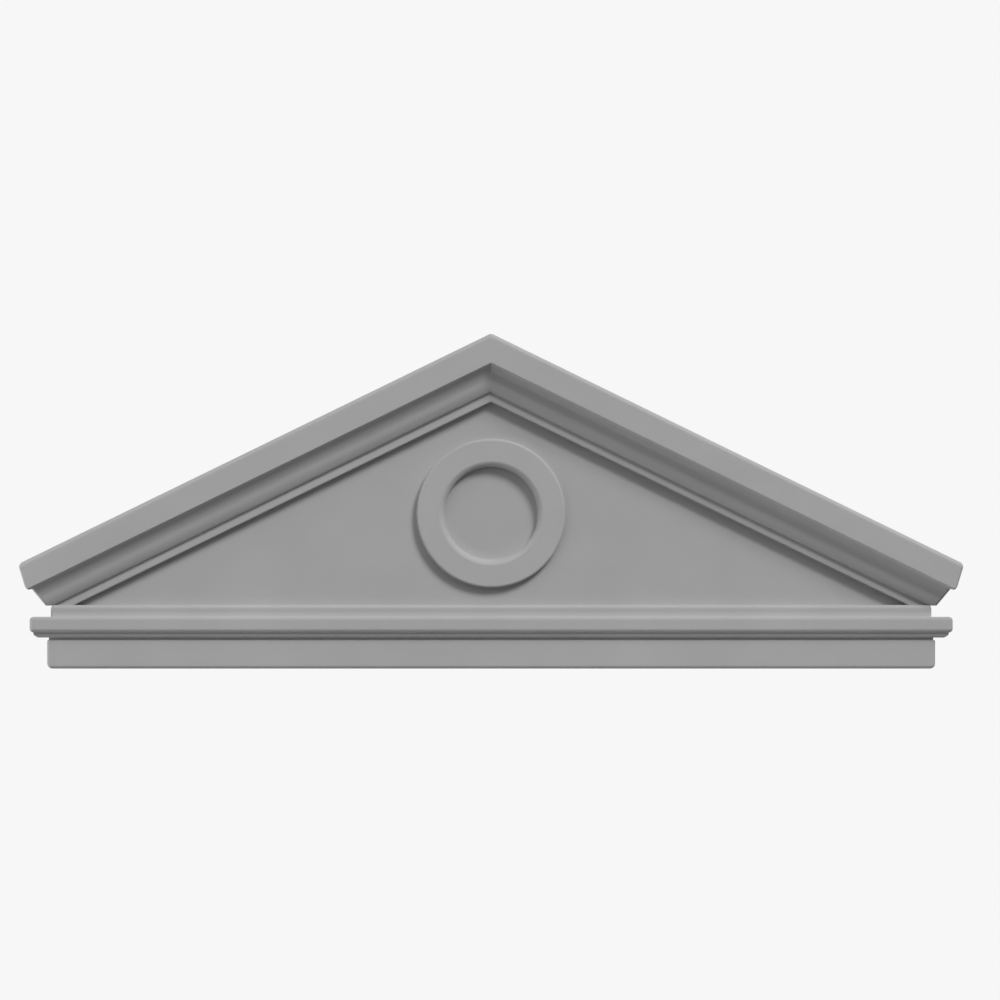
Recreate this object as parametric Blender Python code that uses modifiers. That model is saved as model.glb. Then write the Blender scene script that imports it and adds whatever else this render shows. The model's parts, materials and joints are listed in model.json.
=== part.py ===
"""Exterior pediment in one moulded piece: raking cornice, flat tympanum with a round boss, level cornice.

Metres, +Z up. The front faces -Y, the flat back is at +Y and the underside is at z = 0.
"""

import math

import bmesh
import bpy

# Outline seen from the front.
HALF_WIDTH = 0.752  # to the upper corners of the raking fascia, before they are rounded
RAKE_ANGLE = math.radians(26.0)
FASCIA_LEAN = 0.295  # how far the fascia's end draws in for each metre down the fascia
CYMA_LEAN = 0.66  # the same for the cyma's end
END_STEP = 0.0093  # how far the cyma's end stands in from the fascia's

# Depths. A projection is measured forward from the face of the tympanum.
BACKING = 0.034  # from the tympanum's face to the flat back
FILLET_OUT = 0.0150
CYMA_STEP = 0.0055  # soffit between the cyma's foot and the fillet
CYMA_DROP = 0.0210
FASCIA_STEP = 0.0110  # soffit between the fascia's face and the cyma's head

# Raking cornice, measured square to the rake from its upper edge.
FASCIA_HEIGHT = 0.0430
CYMA_FOOT = 0.0832
RAKE_HEIGHT = 0.0980
HOLLOW_TURN = math.radians(37.0)  # how far the cyma's upper, hollow curve turns
SWELL_TURN = math.radians(32.0)  # how far its lower, swelling curve turns back
HOLLOW_SHARE = 0.55  # of the cyma's girth
SOFFIT_FALL = 0.21  # how far a soffit drops for each metre of its depth
CYMA_STEPS = 10  # facets in the cyma

# Level cornice: heights above the underside, projections, and how far its ends stand out past the wall line.
FOOT_TOP = 0.0455
NECK_TOP = 0.0493  # the soffit of the strip under the band
LIP_FOOT = 0.0533  # the strip is upright above this height and splayed below it
BAND_FOOT = 0.0573
BAND_TOP = 0.0823
LEVEL_TOP = 0.1011
FOOT_OUT = 0.0275
NECK_OUT = 0.0258
SPLAY_OUT = 0.0310
LIP_OUT = 0.0343
BAND_OUT = 0.0413
LEVEL_FILLET_OUT = 0.0240
FOOT_RETURN = 0.0212
NECK_RETURN = 0.0183
SPLAY_RETURN = 0.0355
LIP_RETURN = 0.0430
BAND_RETURN = 0.0491
LEVEL_FILLET_RETURN = 0.0152
COVE_OUT = 0.0014  # how far the fillet's foot sweeps out to the band at the front
COVE_HEIGHT = 0.0090
COVE_STEPS = 3
RAKE_SEAT = 0.0047  # how far the foot of the returned cyma would run below the level cornice's top

# Round boss in the tympanum.
BOSS_HEIGHT = 0.2468
BOSS_RADIUS = 0.1184
BOSS_OUT = 0.0132
RECESS_RADIUS = 0.0740
RECESS_MOUTH = 0.0830  # radius where the recess's swelling side meets the boss's face
RECESS_SWELL = 0.0084  # depth of the swelling side
RECESS_FLOOR = 0.0055  # behind the tympanum's face
SWELL_START = math.radians(72.0)  # slope of the swelling side at its foot
SWELL_END = math.radians(14.0)  # and at the mouth
SWELL_STEPS = 4
DISH_RADIUS = 0.0560  # the floor is flat within it and rises outside it
DISH_RISE = 0.0010
DISH_STEPS = 3
BOSS_STEPS = 96

# Rounded arrises: how far each rounding runs back from the corner.
ARRIS = 0.0040
CORNER = 0.0070  # the top and the upper corners of the raking fascia
LOW_CORNER = 0.0085  # the lower corners of the fascia and of the foot
DRIP_ARRIS = 0.0020  # the fascia's lower edge and the cyma's foot
FILLET_ARRIS = 0.0025  # the raking fillet's lower edge
BAND_DRIP = 0.0065  # the band's lower edge
BAND_ARRIS = 0.0060  # its upper edge, and the fillet's over it
NECK_ARRIS = 0.0024  # the edges over and under the neck
FOOT_ARRIS = 0.0055  # the foot's lower edge at the front
ARRIS_STEPS = 3
ARRIS_ANGLE = math.radians(30.0)

BURY = 0.012  # how far one body runs into the next before they are joined
BEND = 0.0005  # two points nearer than this lie on the same level
UNDERCUT = 0.001  # the rake's underside at its ends, below the level cornice's top

FASCIA_OUT = FILLET_OUT + CYMA_STEP + CYMA_DROP + FASCIA_STEP
DEPTH = FASCIA_OUT + BACKING
BACK = DEPTH / 2
FACE = BACK - BACKING  # y of the tympanum's face
RAKE_BEHIND = BACK + BURY  # each body first runs past the back plane by its own amount
LEVEL_BEHIND = BACK + 1.5 * BURY
FIELD_BEHIND = BACK + 0.5 * BURY
CYMA_HEAD = FASCIA_HEIGHT + SOFFIT_FALL * FASCIA_STEP
FILLET_TOP = CYMA_FOOT + SOFFIT_FALL * CYMA_STEP
FASCIA_FOOT_HALF = HALF_WIDTH - FASCIA_LEAN * FASCIA_HEIGHT
CYMA_HEAD_HALF = FASCIA_FOOT_HALF - END_STEP
CYMA_FOOT_HALF = CYMA_HEAD_HALF - CYMA_LEAN * (CYMA_FOOT - CYMA_HEAD)
WALL_LINE = CYMA_FOOT_HALF - FILLET_OUT - CYMA_STEP
FOOT_RISE = CYMA_FOOT_HALF * math.tan(RAKE_ANGLE) + CYMA_FOOT / math.cos(RAKE_ANGLE)
APEX_HEIGHT = LEVEL_TOP - RAKE_SEAT + FOOT_RISE

PART_NAME = "pediment"


def clear_scene():
    for obj in list(bpy.data.objects):
        bpy.data.objects.remove(obj, do_unlink=True)
    for mesh in list(bpy.data.meshes):
        bpy.data.meshes.remove(mesh)


def new_collection(name):
    collection = bpy.data.collections.new(name)
    bpy.context.scene.collection.children.link(collection)
    return collection


def mesh_object(name, points, faces, collection):
    mesh = bpy.data.meshes.new(name)
    mesh.from_pydata(points, [], faces)
    mesh.validate()
    shape = bmesh.new()
    shape.from_mesh(mesh)
    bmesh.ops.remove_doubles(shape, verts=shape.verts, dist=1e-6)
    bmesh.ops.recalc_face_normals(shape, faces=shape.faces)
    if shape.calc_volume(signed=True) < 0:
        bmesh.ops.reverse_faces(shape, faces=shape.faces)
    shape.to_mesh(mesh)
    shape.free()
    obj = bpy.data.objects.new(name, mesh)
    collection.objects.link(obj)
    return obj


def moulded_body(name, runs, caps, collection):
    """A solid skinned over runs, rows of points along the moulding, with its open sides closed by caps."""
    count = len(runs[0])
    points = [point for run in runs for point in run]
    faces = []
    for row in range(len(runs) - 1):
        for column in range(count - 1):
            corner = row * count + column
            faces.append((corner, corner + 1, corner + count + 1, corner + count))
    for cap in caps:
        start = len(points)
        points.extend(cap)
        faces.append(tuple(range(start, len(points))))
    return mesh_object(name, points, faces, collection)


def cyma_profile():
    """Projection, distance down and half-width at the ends of each point from the cyma's head to its foot."""
    path = [(0.0, 0.0)]
    for step in range(CYMA_STEPS):
        share = (step + 0.5) / CYMA_STEPS
        if share < HOLLOW_SHARE:
            angle = HOLLOW_TURN * (1.0 - share / HOLLOW_SHARE)
        else:
            angle = SWELL_TURN * (share - HOLLOW_SHARE) / (1.0 - HOLLOW_SHARE)
        path.append((path[-1][0] + math.sin(angle), path[-1][1] + math.cos(angle)))
    height = CYMA_FOOT - CYMA_HEAD
    scale = math.hypot(CYMA_DROP, height) / math.hypot(*path[-1])
    turn = math.atan2(CYMA_DROP, height) - math.atan2(*path[-1])
    points = []
    for fall, run in path:
        out = FASCIA_OUT - FASCIA_STEP - scale * (fall * math.cos(turn) + run * math.sin(turn))
        below = scale * (run * math.cos(turn) - fall * math.sin(turn))
        points.append((out, CYMA_HEAD + below, CYMA_HEAD_HALF - CYMA_LEAN * below))
    return points


def rake_profile():
    """Each point's projection, distance from the rake's upper edge and half-width at the ends."""
    points = [(FASCIA_OUT, 0.0, HALF_WIDTH), (FASCIA_OUT, FASCIA_HEIGHT, FASCIA_FOOT_HALF)]
    points.extend(cyma_profile())
    points.append((FILLET_OUT, FILLET_TOP, WALL_LINE + FILLET_OUT))
    points.append((FILLET_OUT, RAKE_HEIGHT, WALL_LINE + FILLET_OUT))
    return points


def rake_z(x, down):
    return APEX_HEIGHT - abs(x) * math.tan(RAKE_ANGLE) - down / math.cos(RAKE_ANGLE)


def raking_cornice(collection):
    runs = []
    for out, down, half in rake_profile():
        front = FACE - out
        run = [(-half, RAKE_BEHIND, rake_z(half, down)), (-half, front, rake_z(half, down))]
        run.append((0.0, front, rake_z(0.0, down)))
        run.extend([(half, front, rake_z(half, down)), (half, RAKE_BEHIND, rake_z(half, down))])
        runs.append(run)
    ridge = (0.0, RAKE_BEHIND, rake_z(0.0, 0.0))
    crotch = (0.0, RAKE_BEHIND, rake_z(0.0, RAKE_HEIGHT))
    caps = []
    for run, inner in ((runs[0], ridge), (runs[-1], crotch)):
        caps.append([run[0], run[1], run[2], inner])
        caps.append([run[2], run[3], run[4], inner])
    left = [run[0] for run in runs]
    right = [run[-1] for run in reversed(runs)]
    caps.append(left + [crotch] + right + [ridge])
    return moulded_body("rake", runs, caps, collection)


def level_cornice(collection):
    profile = [
        (FOOT_OUT, 0.0, FOOT_RETURN),
        (FOOT_OUT, FOOT_TOP, FOOT_RETURN),
        (NECK_OUT, FOOT_TOP, NECK_RETURN),
        (NECK_OUT, NECK_TOP, NECK_RETURN),
        (SPLAY_OUT, NECK_TOP, SPLAY_RETURN),
        (LIP_OUT, LIP_FOOT, LIP_RETURN),
        (LIP_OUT, BAND_FOOT, LIP_RETURN),
        (BAND_OUT, BAND_FOOT, BAND_RETURN),
        (BAND_OUT, BAND_TOP, BAND_RETURN),
    ]
    for step in range(COVE_STEPS + 1):
        share = step / COVE_STEPS
        past = COVE_OUT * (1.0 - share) ** 2
        profile.append((LEVEL_FILLET_OUT + past, BAND_TOP + COVE_HEIGHT * share, LEVEL_FILLET_RETURN))
    profile.append((LEVEL_FILLET_OUT, LEVEL_TOP, LEVEL_FILLET_RETURN))
    runs = []
    for out, height, past in profile:
        front = FACE - out
        half = WALL_LINE + past
        run = [(-half, LEVEL_BEHIND, height), (-half, front, height)]
        run.extend([(half, front, height), (half, LEVEL_BEHIND, height)])
        runs.append(run)
    back = [run[0] for run in runs] + [run[-1] for run in reversed(runs)]
    return moulded_body("level_cornice", runs, [runs[0], runs[-1], back], collection)


def tympanum(collection):
    """The flat field, running under both cornices."""
    depth = 2 * BURY
    foot = BAND_TOP
    half = (APEX_HEIGHT - (RAKE_HEIGHT - depth) / math.cos(RAKE_ANGLE) - foot) / math.tan(RAKE_ANGLE)
    half = min(half, WALL_LINE)
    shoulder = rake_z(half, RAKE_HEIGHT - depth)
    top = rake_z(0.0, RAKE_HEIGHT - depth)
    outline = [(-half, foot), (half, foot), (half, shoulder), (0.0, top), (-half, shoulder)]
    front = [(x, FACE, z) for x, z in outline]
    behind = [(x, FIELD_BEHIND, z) for x, z in outline]
    return moulded_body("tympanum", [front + front[:1], behind + behind[:1]], [front, behind], collection)


def block(name, low, high, collection):
    xs, ys, zs = zip(low, high)
    outline = [(xs[0], zs[0]), (xs[1], zs[0]), (xs[1], zs[1]), (xs[0], zs[1])]
    front = [(x, ys[0], z) for x, z in outline]
    behind = [(x, ys[1], z) for x, z in outline]
    return moulded_body(name, [front + front[:1], behind + behind[:1]], [front, behind], collection)


def turned(name, profile, collection):
    """A solid turned about the boss's axis from pairs of radius and y, first and last on the axis."""
    mesh = bpy.data.meshes.new(name)
    edges = [(index, index + 1) for index in range(len(profile) - 1)]
    mesh.from_pydata([(radius, 0.0, y) for radius, y in profile], edges, [])
    obj = bpy.data.objects.new(name, mesh)
    collection.objects.link(obj)
    screw = obj.modifiers.new("turn", "SCREW")
    screw.axis = "Z"
    screw.angle = 2 * math.pi
    screw.steps = BOSS_STEPS
    screw.render_steps = BOSS_STEPS
    screw.use_merge_vertices = True
    screw.merge_threshold = 1e-5
    screw.use_normal_calculate = True
    solid = baked(obj, name + "_solid", collection)
    shape = bmesh.new()
    shape.from_mesh(solid.data)
    for vert in shape.verts:
        x, z, y = vert.co
        vert.co = (x, y, BOSS_HEIGHT - z)
    bmesh.ops.recalc_face_normals(shape, faces=shape.faces)
    if shape.calc_volume(signed=True) < 0:
        bmesh.ops.reverse_faces(shape, faces=shape.faces)
    shape.to_mesh(solid.data)
    shape.free()
    bpy.data.objects.remove(obj, do_unlink=True)
    return solid


def rounded(centre, radius, start, end):
    """Points of an arc between two angles in degrees, as radius and y pairs."""
    steps = ARRIS_STEPS + 1
    angles = [math.radians(start + (end - start) * step / steps) for step in range(steps + 1)]
    return [(centre[0] + radius * math.cos(a), centre[1] + radius * math.sin(a)) for a in angles]


def boss(collection):
    face = FACE - BOSS_OUT
    edge = rounded((BOSS_RADIUS - ARRIS, face + ARRIS), ARRIS, -90.0, 0.0)
    profile = [(0.0, face)] + edge + [(BOSS_RADIUS, FACE + BURY), (0.0, FACE + BURY)]
    return turned("boss", profile, collection)


def swelling_side():
    """Radius and y pairs from the foot of the recess's swelling side to its mouth."""
    path = [(0.0, 0.0)]
    for step in range(SWELL_STEPS):
        slope = SWELL_START + (SWELL_END - SWELL_START) * (step + 0.5) / SWELL_STEPS
        path.append((path[-1][0] + math.cos(slope), path[-1][1] + math.sin(slope)))
    wide = (RECESS_MOUTH - RECESS_RADIUS) / path[-1][0]
    deep = RECESS_SWELL / path[-1][1]
    foot = FACE - BOSS_OUT + RECESS_SWELL
    return [(RECESS_RADIUS + wide * along, foot - deep * rise) for along, rise in path]


def recess(collection):
    face = FACE - BOSS_OUT
    floor = FACE + RECESS_FLOOR
    profile = [(0.0, floor)]
    for step in range(DISH_STEPS + 1):
        share = step / DISH_STEPS
        profile.append((DISH_RADIUS + (RECESS_RADIUS - DISH_RADIUS) * share, floor - DISH_RISE * share ** 2))
    profile.extend(swelling_side())
    beyond = RECESS_MOUTH + BURY * math.cos(SWELL_END)
    profile.extend([(beyond, face - BURY * math.sin(SWELL_END)), (beyond, face - BURY), (0.0, face - BURY)])
    return turned("recess", profile, collection)


def baked(obj, name, collection):
    """A new object holding the mesh that the object's modifiers make."""
    bpy.context.view_layer.update()
    graph = bpy.context.evaluated_depsgraph_get()
    mesh = bpy.data.meshes.new_from_object(obj.evaluated_get(graph))
    mesh.name = name
    made = bpy.data.objects.new(name, mesh)
    collection.objects.link(made)
    return made


def rake_arris(ends):
    """How far to round an edge of the raking cornice, from its two end points."""
    if max(end.z for end in ends) < LEVEL_TOP:
        return 0.0
    downs = [(rake_z(end.x, 0.0) - end.z) * math.cos(RAKE_ANGLE) for end in ends]
    across = abs(ends[0].y - ends[1].y) > abs(ends[0].x - ends[1].x)
    at_corner = across and min(abs(end.x) for end in ends) > FASCIA_FOOT_HALF - BEND
    along_top = not across and max(downs) < ARRIS
    if at_corner or along_top:
        return LOW_CORNER if min(downs) > FASCIA_HEIGHT - BEND else CORNER
    level = abs(downs[0] - downs[1]) < BEND
    sizes = {FASCIA_HEIGHT: DRIP_ARRIS, CYMA_FOOT: DRIP_ARRIS, RAKE_HEIGHT: FILLET_ARRIS}
    for down, size in sizes.items():
        if level and abs(downs[0] - down) < BEND:
            return size
    return ARRIS


def level_arris(ends):
    """How far to round an edge of the level cornice, from its two end points."""
    heights = [end.z for end in ends]
    across = abs(ends[0].y - ends[1].y) > abs(ends[0].x - ends[1].x)
    if max(heights) - min(heights) > BEND:
        narrow = max(heights) < BAND_FOOT + BEND and min(heights) > FOOT_TOP - BEND
        return 0.0 if narrow else ARRIS
    if max(heights) < BEND:
        return LOW_CORNER if across else FOOT_ARRIS
    sizes = {FOOT_TOP: NECK_ARRIS, NECK_TOP: NECK_ARRIS, LIP_FOOT: NECK_ARRIS, BAND_FOOT: BAND_DRIP}
    sizes.update({BAND_TOP: BAND_ARRIS, LEVEL_TOP: BAND_ARRIS})
    for height, size in sizes.items():
        if abs(heights[0] - height) < BEND:
            return size
    return ARRIS


def round_arrises(obj, size_of):
    """Rounds the convex edges in front of the back plane, each by the size that size_of gives it."""
    shape = bmesh.new()
    shape.from_mesh(obj.data)
    weights = shape.edges.layers.float.new("bevel_weight_edge")
    for edge in shape.edges:
        ends = [vert.co for vert in edge.verts]
        if edge.calc_face_angle_signed(0.0) >= ARRIS_ANGLE and min(end.y for end in ends) <= BACK:
            edge[weights] = size_of(ends) / LOW_CORNER
    shape.to_mesh(obj.data)
    shape.free()
    bevel = obj.modifiers.new("arrises", "BEVEL")
    bevel.limit_method = "WEIGHT"
    bevel.width = LOW_CORNER
    bevel.segments = ARRIS_STEPS
    bevel.use_clamp_overlap = False


def join(obj, other, operation):
    step = obj.modifiers.new(other.name, "BOOLEAN")
    step.operation = operation
    step.solver = "EXACT"
    step.object = other


def material():
    made = bpy.data.materials.new("mineral_coat")
    made.use_nodes = True
    shader = made.node_tree.nodes["Principled BSDF"]
    shader.inputs["Base Color"].default_value = (0.42, 0.42, 0.42, 1.0)
    shader.inputs["Roughness"].default_value = 0.85
    return made


def main():
    clear_scene()
    parts = new_collection(PART_NAME)
    cutters = new_collection("cutters")
    cutters.hide_render = True

    rake = raking_cornice(cutters)
    under = block("under_rake", (-1.0, -1.0, -1.0), (1.0, 1.0, LEVEL_TOP - UNDERCUT), cutters)
    join(rake, under, "DIFFERENCE")
    body = baked(rake, "rake_above", cutters)
    round_arrises(body, rake_arris)
    level = level_cornice(cutters)
    round_arrises(level, level_arris)
    join(body, level, "UNION")
    join(body, tympanum(cutters), "UNION")
    join(body, boss(cutters), "UNION")
    join(body, recess(cutters), "DIFFERENCE")
    join(body, block("behind_back", (-1.0, BACK, -1.0), (1.0, 1.0, 1.0), cutters), "DIFFERENCE")

    pediment = baked(body, PART_NAME, parts)
    pediment.data.materials.clear()
    pediment.data.materials.append(material())
    pediment.data.shade_smooth()
    pediment.data.set_sharp_from_angle(angle=math.radians(25.0))
    for obj in cutters.objects:
        obj.hide_render = True
        obj.display_type = "WIRE"


main()
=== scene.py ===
import json
import math

import bmesh
import bpy
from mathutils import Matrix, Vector

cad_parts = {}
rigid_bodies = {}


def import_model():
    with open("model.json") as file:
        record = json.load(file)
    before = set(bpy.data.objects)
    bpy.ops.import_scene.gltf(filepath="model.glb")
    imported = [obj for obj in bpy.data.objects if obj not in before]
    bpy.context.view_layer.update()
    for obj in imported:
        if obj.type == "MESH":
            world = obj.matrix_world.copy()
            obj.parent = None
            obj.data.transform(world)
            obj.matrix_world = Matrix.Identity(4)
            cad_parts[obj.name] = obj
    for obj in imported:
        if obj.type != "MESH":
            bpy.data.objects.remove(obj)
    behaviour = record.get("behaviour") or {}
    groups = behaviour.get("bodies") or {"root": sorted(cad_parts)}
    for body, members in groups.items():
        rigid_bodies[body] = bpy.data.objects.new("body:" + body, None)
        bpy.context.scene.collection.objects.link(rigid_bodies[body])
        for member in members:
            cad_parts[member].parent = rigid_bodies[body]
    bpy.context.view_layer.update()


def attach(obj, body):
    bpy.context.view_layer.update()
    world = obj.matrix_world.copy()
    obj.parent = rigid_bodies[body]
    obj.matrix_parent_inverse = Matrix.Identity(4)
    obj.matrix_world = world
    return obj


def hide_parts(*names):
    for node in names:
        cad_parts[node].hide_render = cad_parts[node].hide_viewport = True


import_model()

# Metres, +Z up. The front faces -Y, the flat back is at +Y and the underside is at z = 0.

# Outline seen from the front.
HALF_WIDTH = 0.7518  # to the fascia's upper corners before they are rounded, 0.2 mm inside the solid's
RAKE_ANGLE = math.radians(26.0)
FASCIA_LEAN = 0.295  # how far the fascia's end draws in for each metre down the fascia
CYMA_LEAN = 0.66  # the same for the cyma's end
END_STEP = 0.0093  # how far the cyma's end stands in from the fascia's

# Depths. A projection is measured forward from the face of the tympanum.
BACKING = 0.034  # from the tympanum's face to the flat back
FILLET_OUT = 0.0150
CYMA_STEP = 0.0055  # soffit between the cyma's foot and the fillet
CYMA_DROP = 0.0210
FASCIA_STEP = 0.0110  # soffit between the fascia's face and the cyma's head

# Raking cornice, measured square to the rake from its upper edge.
FASCIA_HEIGHT = 0.0430
CYMA_FOOT = 0.0832
RAKE_HEIGHT = 0.0980
HOLLOW_TURN = math.radians(37.0)  # how far the cyma's upper, hollow curve turns
SWELL_TURN = math.radians(32.0)  # how far its lower, swelling curve turns back
HOLLOW_SHARE = 0.55  # of the cyma's girth
SOFFIT_FALL = 0.21  # how far a soffit drops for each metre of its depth
CYMA_STEPS = 28  # facets in the cyma

# Level cornice: heights above the underside, projections, and how far its ends stand out past the wall line.
FOOT_TOP = 0.0455
NECK_TOP = 0.0493  # the soffit of the strip under the band
LIP_FOOT = 0.0533  # the strip is upright above this height and splayed below it
BAND_FOOT = 0.0573
BAND_TOP = 0.0823
LEVEL_TOP = 0.1011
FOOT_OUT = 0.0275
NECK_OUT = 0.0258
SPLAY_OUT = 0.0310
LIP_OUT = 0.0343
BAND_OUT = 0.0413
LEVEL_FILLET_OUT = 0.0240
FOOT_RETURN = 0.0212
NECK_RETURN = 0.0183
SPLAY_RETURN = 0.0355
LIP_RETURN = 0.0430
BAND_RETURN = 0.0491
LEVEL_FILLET_RETURN = 0.0152
COVE_OUT = 0.0014  # how far the fillet's foot sweeps out to the band at the front
COVE_HEIGHT = 0.0090
COVE_STEPS = 8
RAKE_SEAT = 0.0047  # how far the foot of the returned cyma would run below the level cornice's top

# Round boss in the tympanum.
BOSS_HEIGHT = 0.2468
BOSS_RADIUS = 0.1184
BOSS_OUT = 0.0132
RECESS_RADIUS = 0.0740
RECESS_MOUTH = 0.0830  # radius where the recess's swelling side meets the boss's face
RECESS_SWELL = 0.0084  # depth of the swelling side
RECESS_FLOOR = 0.0055  # behind the tympanum's face
SWELL_START = math.radians(72.0)  # slope of the swelling side at its foot
SWELL_END = math.radians(14.0)  # and at the mouth
SWELL_STEPS = 14
DISH_RADIUS = 0.0560  # the floor is flat within it and rises outside it
DISH_RISE = 0.0010
DISH_STEPS = 10
BOSS_STEPS = 240

# Rounded arrises: how far each rounding runs back from the corner.
ARRIS = 0.0040
CORNER = 0.0070  # the top and the upper corners of the raking fascia
LOW_CORNER = 0.0085  # the lower corners of the fascia and of the foot
DRIP_ARRIS = 0.0020  # the fascia's lower edge and the cyma's foot
FILLET_ARRIS = 0.0025  # the raking fillet's lower edge
BAND_DRIP = 0.0065  # the band's lower edge
BAND_ARRIS = 0.0060  # its upper edge, and the fillet's over it
NECK_ARRIS = 0.0024  # the edges over and under the neck
FOOT_ARRIS = 0.0055  # the foot's lower edge at the front
ARRIS_STEPS = 6
ARRIS_ANGLE = math.radians(30.0)

BURY = 0.012  # how far one body runs into the next before they are joined
BEND = 0.0005  # two points nearer than this lie on the same level
UNDERCUT = 0.001  # the rake's underside at its ends, below the level cornice's top
CUTTER = 1.0  # half-width of the blocks that cut, past every side of the piece
SHARP_ANGLE = math.radians(25.0)

FASCIA_OUT = FILLET_OUT + CYMA_STEP + CYMA_DROP + FASCIA_STEP
DEPTH = FASCIA_OUT + BACKING
BACK = DEPTH / 2
FACE = BACK - BACKING  # y of the tympanum's face
RAKE_BEHIND = BACK + BURY  # each body first runs past the back plane by its own amount
LEVEL_BEHIND = BACK + 1.5 * BURY
FIELD_BEHIND = BACK + 0.5 * BURY
CYMA_HEAD = FASCIA_HEIGHT + SOFFIT_FALL * FASCIA_STEP
FILLET_TOP = CYMA_FOOT + SOFFIT_FALL * CYMA_STEP
FASCIA_FOOT_HALF = HALF_WIDTH - FASCIA_LEAN * FASCIA_HEIGHT
CYMA_HEAD_HALF = FASCIA_FOOT_HALF - END_STEP
CYMA_FOOT_HALF = CYMA_HEAD_HALF - CYMA_LEAN * (CYMA_FOOT - CYMA_HEAD)
WALL_LINE = CYMA_FOOT_HALF - FILLET_OUT - CYMA_STEP
FOOT_RISE = CYMA_FOOT_HALF * math.tan(RAKE_ANGLE) + CYMA_FOOT / math.cos(RAKE_ANGLE)
APEX_HEIGHT = LEVEL_TOP - RAKE_SEAT + FOOT_RISE

# Mineral coat: scales of its cloudy tone and its grain, and linear grey tones.
CLOUD_SCALE = 7.0
GRAIN_SCALE = 900.0
DARK_TONE = 0.405
LIGHT_TONE = 0.435
WORN_TONE = 0.47  # along the arrises
WEAR_WIDTH = 0.002
WEAR_BEND = 0.90  # cosine of the turn in the surface at which the wear is full
LOW_ROUGHNESS = 0.78
HIGH_ROUGHNESS = 0.92
SPECULAR = 0.25
GRAIN_STRENGTH = 0.12
GRAIN_DEPTH = 0.0004

# The picture: metres to a pixel, and the pixels of the object's middle and underside.
PIXEL = 0.001589
PICTURE = 1000
MIDDLE_X = 491.1
UNDERSIDE_Y = 668.6
CAMERA_DISTANCE = 5.0
CAMERA_REACH = 50.0

# Studio light. Each lamp: degrees right of the front, degrees above the floor, width in degrees, strength.
LAMPS = {
    "key": (36.0, 43.0, 19.0, 2.25),
    "rim_left": (-100.0, -15.0, 40.0, 2.5),
    "fill_front": (-30.0, 30.0, 70.0, 0.77),
    "fill_left": (-75.0, 0.0, 70.0, 0.045),
    "fill_low_left": (-75.0, -50.0, 70.0, 0.975),
    "fill_low_right": (30.0, 10.0, 70.0, 0.045),
    "fill_right": (75.0, 20.0, 70.0, 0.431),
    "fill_top": (0.0, 75.0, 70.0, 0.354),
    "fill_back": (165.0, 25.0, 70.0, 0.9),
}
BACKGROUND = 0.930  # only the camera sees it
FLOOR_WIDTH = 60.0
FLOOR_TONE = 0.80
FLOOR_ROUGHNESS = 0.9


def new_collection(name):
    collection = bpy.data.collections.new(name)
    bpy.context.scene.collection.children.link(collection)
    return collection


def mesh_object(name, points, faces, collection):
    mesh = bpy.data.meshes.new(name)
    mesh.from_pydata(points, [], faces)
    mesh.validate()
    shape = bmesh.new()
    shape.from_mesh(mesh)
    bmesh.ops.remove_doubles(shape, verts=shape.verts, dist=1e-6)
    bmesh.ops.recalc_face_normals(shape, faces=shape.faces)
    if shape.calc_volume(signed=True) < 0:
        bmesh.ops.reverse_faces(shape, faces=shape.faces)
    shape.to_mesh(mesh)
    shape.free()
    obj = bpy.data.objects.new(name, mesh)
    collection.objects.link(obj)
    return obj


def moulded_body(name, runs, caps, collection):
    """A solid skinned over runs, rows of points along the moulding, with its open sides closed by caps."""
    count = len(runs[0])
    points = [point for run in runs for point in run]
    faces = []
    for row in range(len(runs) - 1):
        for column in range(count - 1):
            corner = row * count + column
            faces.append((corner, corner + 1, corner + count + 1, corner + count))
    for cap in caps:
        start = len(points)
        points.extend(cap)
        faces.append(tuple(range(start, len(points))))
    return mesh_object(name, points, faces, collection)


def cyma_profile():
    """Projection, distance down and half-width at the ends of each point from the cyma's head to its foot."""
    path = [(0.0, 0.0)]
    for step in range(CYMA_STEPS):
        share = (step + 0.5) / CYMA_STEPS
        if share < HOLLOW_SHARE:
            angle = HOLLOW_TURN * (1.0 - share / HOLLOW_SHARE)
        else:
            angle = SWELL_TURN * (share - HOLLOW_SHARE) / (1.0 - HOLLOW_SHARE)
        path.append((path[-1][0] + math.sin(angle), path[-1][1] + math.cos(angle)))
    height = CYMA_FOOT - CYMA_HEAD
    scale = math.hypot(CYMA_DROP, height) / math.hypot(*path[-1])
    turn = math.atan2(CYMA_DROP, height) - math.atan2(*path[-1])
    points = []
    for fall, run in path:
        out = FASCIA_OUT - FASCIA_STEP - scale * (fall * math.cos(turn) + run * math.sin(turn))
        below = scale * (run * math.cos(turn) - fall * math.sin(turn))
        points.append((out, CYMA_HEAD + below, CYMA_HEAD_HALF - CYMA_LEAN * below))
    return points


def rake_profile():
    """Each point's projection, distance from the rake's upper edge and half-width at the ends."""
    points = [(FASCIA_OUT, 0.0, HALF_WIDTH), (FASCIA_OUT, FASCIA_HEIGHT, FASCIA_FOOT_HALF)]
    points.extend(cyma_profile())
    points.append((FILLET_OUT, FILLET_TOP, WALL_LINE + FILLET_OUT))
    points.append((FILLET_OUT, RAKE_HEIGHT, WALL_LINE + FILLET_OUT))
    return points


def rake_z(x, down):
    return APEX_HEIGHT - abs(x) * math.tan(RAKE_ANGLE) - down / math.cos(RAKE_ANGLE)


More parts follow.
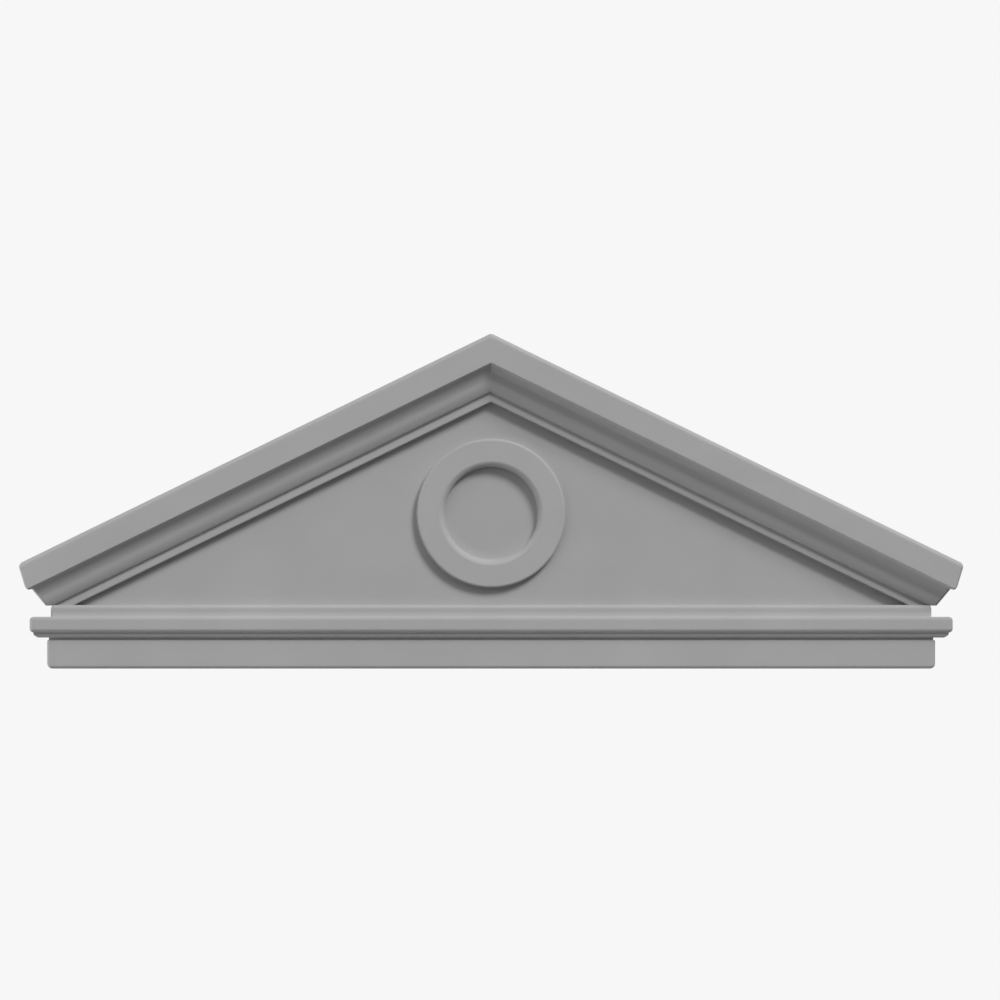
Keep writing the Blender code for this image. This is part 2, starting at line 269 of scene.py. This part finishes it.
def raking_cornice(collection):
    runs = []
    for out, down, half in rake_profile():
        front = FACE - out
        run = [(-half, RAKE_BEHIND, rake_z(half, down)), (-half, front, rake_z(half, down))]
        run.append((0.0, front, rake_z(0.0, down)))
        run.extend([(half, front, rake_z(half, down)), (half, RAKE_BEHIND, rake_z(half, down))])
        runs.append(run)
    ridge = (0.0, RAKE_BEHIND, rake_z(0.0, 0.0))
    crotch = (0.0, RAKE_BEHIND, rake_z(0.0, RAKE_HEIGHT))
    caps = []
    for run, inner in ((runs[0], ridge), (runs[-1], crotch)):
        caps.append([run[0], run[1], run[2], inner])
        caps.append([run[2], run[3], run[4], inner])
    left = [run[0] for run in runs]
    right = [run[-1] for run in reversed(runs)]
    caps.append(left + [crotch] + right + [ridge])
    return moulded_body("rake", runs, caps, collection)


def level_cornice(collection):
    profile = [
        (FOOT_OUT, 0.0, FOOT_RETURN),
        (FOOT_OUT, FOOT_TOP, FOOT_RETURN),
        (NECK_OUT, FOOT_TOP, NECK_RETURN),
        (NECK_OUT, NECK_TOP, NECK_RETURN),
        (SPLAY_OUT, NECK_TOP, SPLAY_RETURN),
        (LIP_OUT, LIP_FOOT, LIP_RETURN),
        (LIP_OUT, BAND_FOOT, LIP_RETURN),
        (BAND_OUT, BAND_FOOT, BAND_RETURN),
        (BAND_OUT, BAND_TOP, BAND_RETURN),
    ]
    for step in range(COVE_STEPS + 1):
        share = step / COVE_STEPS
        past = COVE_OUT * (1.0 - share) ** 2
        profile.append((LEVEL_FILLET_OUT + past, BAND_TOP + COVE_HEIGHT * share, LEVEL_FILLET_RETURN))
    profile.append((LEVEL_FILLET_OUT, LEVEL_TOP, LEVEL_FILLET_RETURN))
    runs = []
    for out, height, past in profile:
        front = FACE - out
        half = WALL_LINE + past
        run = [(-half, LEVEL_BEHIND, height), (-half, front, height)]
        run.extend([(half, front, height), (half, LEVEL_BEHIND, height)])
        runs.append(run)
    back = [run[0] for run in runs] + [run[-1] for run in reversed(runs)]
    return moulded_body("level_cornice", runs, [runs[0], runs[-1], back], collection)


def tympanum(collection):
    """The flat field, running under both cornices."""
    depth = 2 * BURY
    foot = BAND_TOP
    half = (APEX_HEIGHT - (RAKE_HEIGHT - depth) / math.cos(RAKE_ANGLE) - foot) / math.tan(RAKE_ANGLE)
    half = min(half, WALL_LINE)
    shoulder = rake_z(half, RAKE_HEIGHT - depth)
    top = rake_z(0.0, RAKE_HEIGHT - depth)
    outline = [(-half, foot), (half, foot), (half, shoulder), (0.0, top), (-half, shoulder)]
    front = [(x, FACE, z) for x, z in outline]
    behind = [(x, FIELD_BEHIND, z) for x, z in outline]
    return moulded_body("tympanum", [front + front[:1], behind + behind[:1]], [front, behind], collection)


def block(name, low, high, collection):
    xs, ys, zs = zip(low, high)
    outline = [(xs[0], zs[0]), (xs[1], zs[0]), (xs[1], zs[1]), (xs[0], zs[1])]
    front = [(x, ys[0], z) for x, z in outline]
    behind = [(x, ys[1], z) for x, z in outline]
    return moulded_body(name, [front + front[:1], behind + behind[:1]], [front, behind], collection)


def turned(name, profile, collection):
    """A closed solid turned about the boss's axis from pairs of radius and y, first and last on the axis."""
    points = [(0.0, profile[0][1], BOSS_HEIGHT), (0.0, profile[-1][1], BOSS_HEIGHT)]
    faces = []
    rings = profile[1:-1]
    for step in range(BOSS_STEPS):
        angle = 2 * math.pi * step / BOSS_STEPS
        for radius, y in rings:
            points.append((radius * math.sin(angle), y, BOSS_HEIGHT + radius * math.cos(angle)))
    count = len(rings)
    for step in range(BOSS_STEPS):
        here = 2 + step * count
        there = 2 + (step + 1) % BOSS_STEPS * count
        faces.append((0, here, there))
        faces.append((1, there + count - 1, here + count - 1))
        for ring in range(count - 1):
            faces.append((here + ring, here + ring + 1, there + ring + 1, there + ring))
    return mesh_object(name, points, faces, collection)


def rounded(centre, radius, start, end):
    """Points of an arc between two angles in degrees, as radius and y pairs."""
    steps = ARRIS_STEPS + 1
    angles = [math.radians(start + (end - start) * step / steps) for step in range(steps + 1)]
    return [(centre[0] + radius * math.cos(a), centre[1] + radius * math.sin(a)) for a in angles]


def boss(collection):
    face = FACE - BOSS_OUT
    edge = rounded((BOSS_RADIUS - ARRIS, face + ARRIS), ARRIS, -90.0, 0.0)
    profile = [(0.0, face)] + edge + [(BOSS_RADIUS, FACE + BURY), (0.0, FACE + BURY)]
    return turned("boss", profile, collection)


def swelling_side():
    """Radius and y pairs from the foot of the recess's swelling side to its mouth."""
    path = [(0.0, 0.0)]
    for step in range(SWELL_STEPS):
        slope = SWELL_START + (SWELL_END - SWELL_START) * (step + 0.5) / SWELL_STEPS
        path.append((path[-1][0] + math.cos(slope), path[-1][1] + math.sin(slope)))
    wide = (RECESS_MOUTH - RECESS_RADIUS) / path[-1][0]
    deep = RECESS_SWELL / path[-1][1]
    foot = FACE - BOSS_OUT + RECESS_SWELL
    return [(RECESS_RADIUS + wide * along, foot - deep * rise) for along, rise in path]


def recess(collection):
    face = FACE - BOSS_OUT
    floor = FACE + RECESS_FLOOR
    profile = [(0.0, floor)]
    for step in range(DISH_STEPS + 1):
        share = step / DISH_STEPS
        profile.append((DISH_RADIUS + (RECESS_RADIUS - DISH_RADIUS) * share, floor - DISH_RISE * share ** 2))
    profile.extend(swelling_side())
    beyond = RECESS_MOUTH + BURY * math.cos(SWELL_END)
    profile.extend([(beyond, face - BURY * math.sin(SWELL_END)), (beyond, face - BURY), (0.0, face - BURY)])
    return turned("recess", profile, collection)


def baked(obj, name, collection):
    """A new object holding the mesh that the object's modifiers make."""
    bpy.context.view_layer.update()
    graph = bpy.context.evaluated_depsgraph_get()
    mesh = bpy.data.meshes.new_from_object(obj.evaluated_get(graph))
    mesh.name = name
    made = bpy.data.objects.new(name, mesh)
    collection.objects.link(made)
    return made


def rake_arris(ends):
    """How far to round an edge of the raking cornice, from its two end points."""
    if max(end.z for end in ends) < LEVEL_TOP:
        return 0.0
    downs = [(rake_z(end.x, 0.0) - end.z) * math.cos(RAKE_ANGLE) for end in ends]
    across = abs(ends[0].y - ends[1].y) > abs(ends[0].x - ends[1].x)
    at_corner = across and min(abs(end.x) for end in ends) > FASCIA_FOOT_HALF - BEND
    along_top = not across and max(downs) < ARRIS
    if at_corner or along_top:
        return LOW_CORNER if min(downs) > FASCIA_HEIGHT - BEND else CORNER
    level = abs(downs[0] - downs[1]) < BEND
    sizes = {FASCIA_HEIGHT: DRIP_ARRIS, CYMA_FOOT: DRIP_ARRIS, RAKE_HEIGHT: FILLET_ARRIS}
    for down, size in sizes.items():
        if level and abs(downs[0] - down) < BEND:
            return size
    return ARRIS


def level_arris(ends):
    """How far to round an edge of the level cornice, from its two end points."""
    heights = [end.z for end in ends]
    across = abs(ends[0].y - ends[1].y) > abs(ends[0].x - ends[1].x)
    if max(heights) - min(heights) > BEND:
        narrow = max(heights) < BAND_FOOT + BEND and min(heights) > FOOT_TOP - BEND
        return 0.0 if narrow else ARRIS
    if max(heights) < BEND:
        return LOW_CORNER if across else FOOT_ARRIS
    sizes = {FOOT_TOP: NECK_ARRIS, NECK_TOP: NECK_ARRIS, LIP_FOOT: NECK_ARRIS, BAND_FOOT: BAND_DRIP}
    sizes.update({BAND_TOP: BAND_ARRIS, LEVEL_TOP: BAND_ARRIS})
    for height, size in sizes.items():
        if abs(heights[0] - height) < BEND:
            return size
    return ARRIS


def round_arrises(obj, size_of):
    """Rounds the convex edges in front of the back plane, each by the size that size_of gives it."""
    shape = bmesh.new()
    shape.from_mesh(obj.data)
    weights = shape.edges.layers.float.new("bevel_weight_edge")
    for edge in shape.edges:
        ends = [vert.co for vert in edge.verts]
        if edge.calc_face_angle_signed(0.0) >= ARRIS_ANGLE and min(end.y for end in ends) <= BACK:
            edge[weights] = size_of(ends) / LOW_CORNER
    shape.to_mesh(obj.data)
    shape.free()
    bevel = obj.modifiers.new("arrises", "BEVEL")
    bevel.limit_method = "WEIGHT"
    bevel.width = LOW_CORNER
    bevel.segments = ARRIS_STEPS
    bevel.use_clamp_overlap = False


def join(obj, other, operation):
    step = obj.modifiers.new(other.name, "BOOLEAN")
    step.operation = operation
    step.solver = "EXACT"
    step.object = other


def grey(tone):
    return (tone, tone, tone, 1.0)


def mineral_coat():
    """Matte light grey with a cloudy tone, fine grain and slightly lighter arrises."""
    made = bpy.data.materials.new("mineral_coat")
    made.use_nodes = True
    nodes = made.node_tree.nodes
    links = made.node_tree.links
    shader = nodes["Principled BSDF"]
    place = nodes.new("ShaderNodeTexCoord")

    clouds = nodes.new("ShaderNodeTexNoise")
    clouds.inputs["Scale"].default_value = CLOUD_SCALE
    clouds.inputs["Detail"].default_value = 4.0
    clouds.inputs["Roughness"].default_value = 0.55
    links.new(place.outputs["Object"], clouds.inputs["Vector"])

    grain = nodes.new("ShaderNodeTexNoise")
    grain.inputs["Scale"].default_value = GRAIN_SCALE
    grain.inputs["Detail"].default_value = 3.0
    links.new(place.outputs["Object"], grain.inputs["Vector"])

    tone = nodes.new("ShaderNodeValToRGB")
    tone.color_ramp.elements[0].position = 0.30
    tone.color_ramp.elements[0].color = grey(DARK_TONE)
    tone.color_ramp.elements[1].position = 0.70
    tone.color_ramp.elements[1].color = grey(LIGHT_TONE)
    links.new(clouds.outputs["Fac"], tone.inputs["Fac"])

    facing = nodes.new("ShaderNodeNewGeometry")
    eased = nodes.new("ShaderNodeBevel")
    eased.samples = 4
    eased.inputs["Radius"].default_value = WEAR_WIDTH
    alike = nodes.new("ShaderNodeVectorMath")
    alike.operation = "DOT_PRODUCT"
    links.new(facing.outputs["Normal"], alike.inputs[0])
    links.new(eased.outputs["Normal"], alike.inputs[1])
    worn = nodes.new("ShaderNodeMapRange")
    worn.inputs["From Min"].default_value = 1.0
    worn.inputs["From Max"].default_value = WEAR_BEND
    links.new(alike.outputs["Value"], worn.inputs["Value"])
    wear = nodes.new("ShaderNodeMixRGB")
    wear.inputs["Color2"].default_value = grey(WORN_TONE)
    links.new(worn.outputs["Result"], wear.inputs["Fac"])
    links.new(tone.outputs["Color"], wear.inputs["Color1"])
    links.new(wear.outputs["Color"], shader.inputs["Base Color"])

    sheen = nodes.new("ShaderNodeMapRange")
    sheen.inputs["To Min"].default_value = LOW_ROUGHNESS
    sheen.inputs["To Max"].default_value = HIGH_ROUGHNESS
    links.new(clouds.outputs["Fac"], sheen.inputs["Value"])
    links.new(sheen.outputs["Result"], shader.inputs["Roughness"])
    shader.inputs["Specular IOR Level"].default_value = SPECULAR

    bump = nodes.new("ShaderNodeBump")
    bump.inputs["Strength"].default_value = GRAIN_STRENGTH
    bump.inputs["Distance"].default_value = GRAIN_DEPTH
    links.new(grain.outputs["Fac"], bump.inputs["Height"])
    links.new(bump.outputs["Normal"], shader.inputs["Normal"])
    return made


def finish_piece():
    """The whole moulding with finer rounding than the solid's, in the mineral coat."""
    shapes = new_collection("shapes")
    rake = raking_cornice(shapes)
    low = (-CUTTER, -CUTTER, -CUTTER)
    under = block("under_rake", low, (CUTTER, CUTTER, LEVEL_TOP - UNDERCUT), shapes)
    join(rake, under, "DIFFERENCE")
    body = baked(rake, "rake_above", shapes)
    round_arrises(body, rake_arris)
    level = level_cornice(shapes)
    round_arrises(level, level_arris)
    field = tympanum(shapes)
    join(field, boss(shapes), "UNION")
    join(field, recess(shapes), "DIFFERENCE")
    join(body, level, "UNION")
    join(body, baked(field, "field", shapes), "UNION")
    behind = block("behind_back", (-CUTTER, BACK, -CUTTER), (CUTTER, CUTTER, CUTTER), shapes)
    join(body, behind, "DIFFERENCE")
    piece = baked(body, "pediment_finish", bpy.context.scene.collection)
    piece.data.materials.clear()
    piece.data.materials.append(mineral_coat())
    piece.data.shade_smooth()
    piece.data.set_sharp_from_angle(angle=SHARP_ANGLE)
    even = piece.modifiers.new("even_normals", "WEIGHTED_NORMAL")
    even.keep_sharp = True
    even.weight = 100
    for obj in list(shapes.objects):
        bpy.data.objects.remove(obj, do_unlink=True)
    bpy.data.collections.remove(shapes)
    return piece


def floor():
    """A pale floor that takes the shadow and throws no light back at the piece."""
    side = 0.5 * FLOOR_WIDTH
    obj = mesh_object(
        "floor",
        [(-side, -side, 0.0), (side, -side, 0.0), (side, side, 0.0), (-side, side, 0.0)],
        [(0, 1, 2, 3)],
        bpy.context.scene.collection,
    )
    made = bpy.data.materials.new("floor")
    made.use_nodes = True
    shader = made.node_tree.nodes["Principled BSDF"]
    shader.inputs["Base Color"].default_value = grey(FLOOR_TONE)
    shader.inputs["Roughness"].default_value = FLOOR_ROUGHNESS
    obj.data.materials.append(made)
    obj.visible_diffuse = False
    obj.visible_shadow = False  # the low fills shine up through it
    return obj


def light():
    for name, (across, above, wide, strength) in LAMPS.items():
        data = bpy.data.lights.new(name, "SUN")
        data.energy = strength
        data.angle = math.radians(wide)
        lamp = bpy.data.objects.new(name, data)
        turn = math.radians(across)
        rise = math.radians(above)
        way = Vector((math.sin(turn) * math.cos(rise), -math.cos(turn) * math.cos(rise), math.sin(rise)))
        lamp.rotation_mode = "QUATERNION"
        lamp.rotation_quaternion = way.to_track_quat("Z", "Y")
        bpy.context.scene.collection.objects.link(lamp)

    world = bpy.data.worlds.new("studio")
    bpy.context.scene.world = world
    world.use_nodes = True
    nodes = world.node_tree.nodes
    links = world.node_tree.links
    seen = nodes["Background"]
    seen.inputs["Color"].default_value = grey(BACKGROUND)
    path = nodes.new("ShaderNodeLightPath")
    pick = nodes.new("ShaderNodeMixShader")
    links.new(path.outputs["Is Camera Ray"], pick.inputs[0])
    links.new(seen.outputs["Background"], pick.inputs[2])
    links.new(pick.outputs["Shader"], nodes["World Output"].inputs["Surface"])


def camera():
    data = bpy.data.cameras.new("camera")
    data.type = "ORTHO"
    data.ortho_scale = PICTURE * PIXEL
    data.clip_end = CAMERA_REACH
    obj = bpy.data.objects.new("camera", data)
    centre_x = (PICTURE / 2 - MIDDLE_X) * PIXEL
    centre_z = (UNDERSIDE_Y - PICTURE / 2) * PIXEL
    obj.location = (centre_x, -CAMERA_DISTANCE, centre_z)
    obj.rotation_euler = (math.radians(90.0), 0.0, 0.0)
    bpy.context.scene.collection.objects.link(obj)
    bpy.context.scene.camera = obj


piece = finish_piece()
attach(piece, "root")
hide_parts("pediment")
floor()
light()
camera()
bpy.context.scene.view_settings.view_transform = "Standard"
